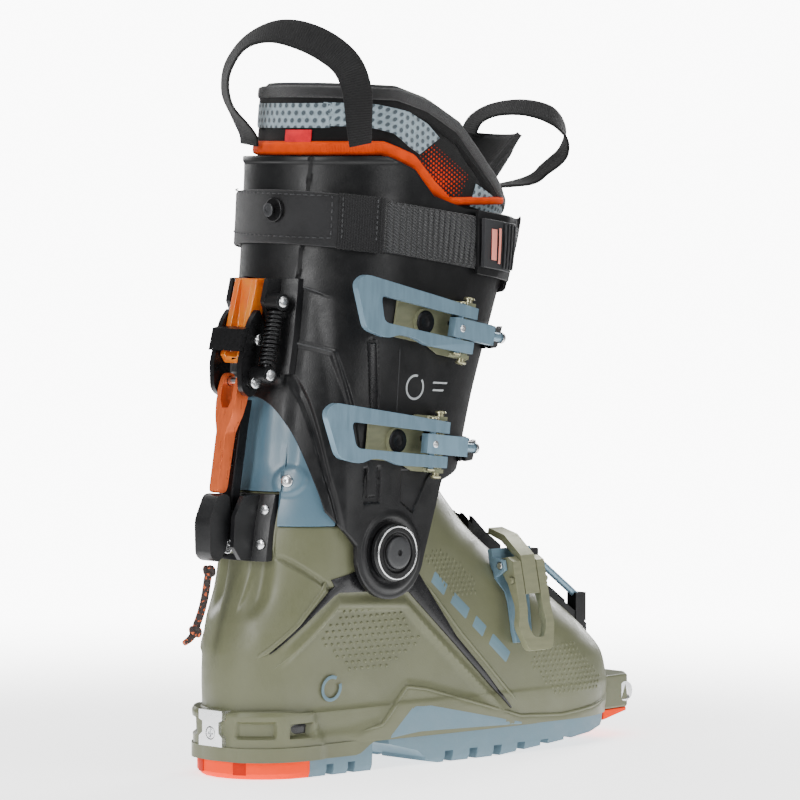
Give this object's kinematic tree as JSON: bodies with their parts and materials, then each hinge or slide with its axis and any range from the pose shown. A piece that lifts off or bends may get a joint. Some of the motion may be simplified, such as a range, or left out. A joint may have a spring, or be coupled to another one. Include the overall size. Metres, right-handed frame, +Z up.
{
  "type": "alpine touring boot",
  "caption": "Right alpine touring boot: stiff lower shell, pivoting cuff with walk mechanism, removable liner, flip buckles, power strap and lugged sole.",
  "frame": {"origin": "on the floor, in the middle of the flat heel of the sole", "axes": "+X to the toe, +Y to the inner (medial) side, +Z up the leg"},
  "size_m": [0.3179, 0.1208, 0.3969],
  "materials": {
    "olive_shell": "satin moulded plastic, sage green",
    "black_plastic": "satin black moulded plastic",
    "grey_plastic": "dark grey plastic",
    "blue_plastic": "slate blue plastic",
    "blue_rubber": "slate blue lug rubber",
    "orange_rubber": "orange rubber",
    "blue_metal": "slate blue painted forging",
    "olive_metal": "sage painted forging",
    "salmon_metal": "salmon anodised",
    "orange_translucent": "translucent orange plastic",
    "steel": "bright steel",
    "black_metal": "black coated steel",
    "liner_cloth": "black liner cloth over foam",
    "piping_cloth": "orange bound edge",
    "webbing": "black webbing",
    "cord": "black cord with orange flecks"
  },
  "bodies": {
    "shell": {"lower_shell": "olive_shell", "toe_tech_insert_lateral": "steel", "toe_tech_insert_medial": "steel", "heel_tech_insert": "steel", "heel_insert_screw": "steel", "heel_pad": "orange_rubber", "heel_lugs": "blue_rubber", "forefoot_lugs": "blue_rubber", "toe_pad": "orange_rubber", "bootboard": "grey_plastic", "liner_foot": "liner_cloth", "liner_ankle": "liner_cloth", "achilles_panel": "blue_plastic", "heel_bracket": "black_metal", "bracket_screw": "steel", "panel_rivet_lateral": "steel", "panel_rivet_medial": "steel", "pivot_stud_lateral": "steel", "pivot_stud_medial": "steel", "instep_base": "blue_metal", "instep_lever_pin": "steel", "instep_rack": "black_plastic", "toe_rack": "black_plastic", "toe_wire": "blue_metal"},
    "cuff": {"cuff": "black_plastic", "pivot_cap_lateral": "black_plastic", "pivot_cap_medial": "black_plastic", "liner_leg": "liner_cloth", "liner_tongue": "liner_cloth", "liner_piping": "piping_cloth", "rear_pull_loop": "webbing", "front_pull_loop": "webbing", "power_strap": "webbing", "strap_rivet": "black_metal", "strap_buckle_frame": "black_plastic", "walk_tower": "black_metal", "walk_orange_yoke": "orange_translucent", "walk_fork": "black_metal", "walk_lever_pin": "steel", "walk_fork_rivet": "steel", "walk_spring": "black_metal", "walk_lock_bar": "black_metal", "upper_buckle_base": "olive_metal", "upper_lever_pin": "steel", "upper_rack": "black_plastic", "lower_buckle_base": "olive_metal", "lower_lever_pin": "steel", "lower_rack": "black_plastic"},
    "walk_lever": {"walk_lever": "salmon_metal", "walk_handle": "black_metal", "pull_cord": "cord"},
    "upper_lever": {"upper_lever": "blue_metal"},
    "upper_bail": {"upper_adjuster": "blue_metal", "upper_hook": "black_plastic"},
    "lower_lever": {"lower_lever": "blue_metal"},
    "lower_bail": {"lower_adjuster": "blue_metal", "lower_hook": "black_plastic"},
    "instep_lever": {"instep_lever": "olive_metal"},
    "instep_bail": {"instep_bail": "olive_metal"},
    "strap_flap": {"strap_buckle_flap": "grey_plastic"}
  },
  "joints": [
    {"name": "cuff_pivot", "type": "hinge", "parent": "shell", "child": "cuff", "pos_m": [0.031, 0, 0.117], "axis": [0, 1, 0], "range_deg": [-11, 20], "deforming": ["achilles_panel", "liner_ankle"]},
    {"name": "walk_lever_flip", "type": "hinge", "parent": "cuff", "child": "walk_lever", "pos_m": [-0.035, 0, 0.208], "axis": [0, 1, 0], "range_deg": [0, 95]},
    {"name": "upper_lever_flip", "type": "hinge", "parent": "cuff", "child": "upper_lever", "pos_m": [0.077, -0.0575, 0.233], "axis": [0.1908, 0, 0.9816], "range_deg": [0, 95]},
    {"name": "upper_bail_swing", "type": "hinge", "parent": "upper_lever", "child": "upper_bail", "pos_m": [0.06817, -0.0623, 0.23472], "axis": [0.1908, 0, 0.9816], "range_deg": [-95, 0]},
    {"name": "lower_lever_flip", "type": "hinge", "parent": "cuff", "child": "lower_lever", "pos_m": [0.059, -0.0554, 0.173], "axis": [0.1132, 0, 0.9936], "range_deg": [0, 95]},
    {"name": "lower_bail_swing", "type": "hinge", "parent": "lower_lever", "child": "lower_bail", "pos_m": [0.05006, -0.0602, 0.17402], "axis": [0.1132, 0, 0.9936], "range_deg": [-95, 0]},
    {"name": "instep_lever_flip", "type": "hinge", "parent": "shell", "child": "instep_lever", "pos_m": [0.133, -0.043, 0.104], "axis": [-1, 0, 0], "range_deg": [0, 90]},
    {"name": "instep_bail_swing", "type": "hinge", "parent": "instep_lever", "child": "instep_bail", "pos_m": [0.133, -0.04976, 0.09624], "axis": [-1, 0, 0], "range_deg": [-90, 0]},
    {"name": "strap_flap_open", "type": "hinge", "parent": "cuff", "child": "strap_flap", "pos_m": [0.118, -0.0515, 0.276], "axis": [0, -0.1483, 0.9889], "range_deg": [0, 80]}
  ],
  "couplings": [
    {"joint": "upper_bail_swing", "follows": "upper_lever_flip", "ratio": -1},
    {"joint": "lower_bail_swing", "follows": "lower_lever_flip", "ratio": -1},
    {"joint": "instep_bail_swing", "follows": "instep_lever_flip", "ratio": -1}
  ]
}
